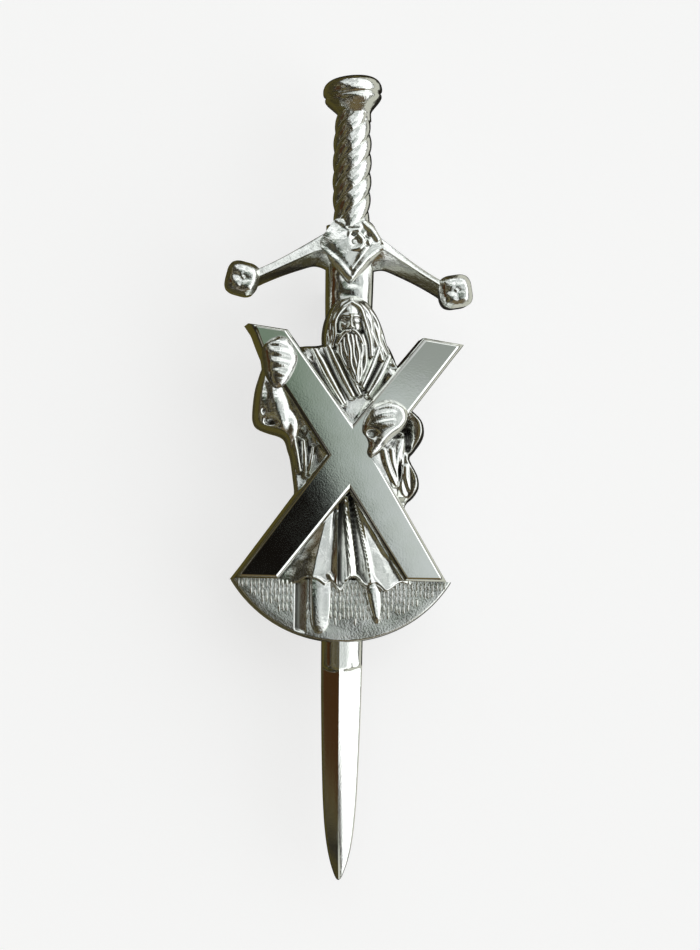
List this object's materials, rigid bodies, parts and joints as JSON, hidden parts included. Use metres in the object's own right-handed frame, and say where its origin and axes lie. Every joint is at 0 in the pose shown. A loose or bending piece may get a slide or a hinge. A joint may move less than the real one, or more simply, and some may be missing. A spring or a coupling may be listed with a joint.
{
  "type": "kilt pin",
  "caption": "Sword-shaped kilt pin in bright plated metal, with a bearded saint who holds a saltire on a grassy mound, and a brooch pin on the back.",
  "frame": {"origin": "middle of the outline seen from the front, on the surface that the pin lies on", "axes": "+Z out of the front relief, +Y along the sword towards the pommel, +X to the right as seen from the front"},
  "size_m": [0.0279, 0.0901, 0.0122],
  "materials": {
    "plated_casting": "bright plated cast metal",
    "pin_steel": "plain plated steel"
  },
  "bodies": {
    "root": {"casting": "plated_casting", "brooch_pin": "pin_steel"}
  },
  "joints": []
}
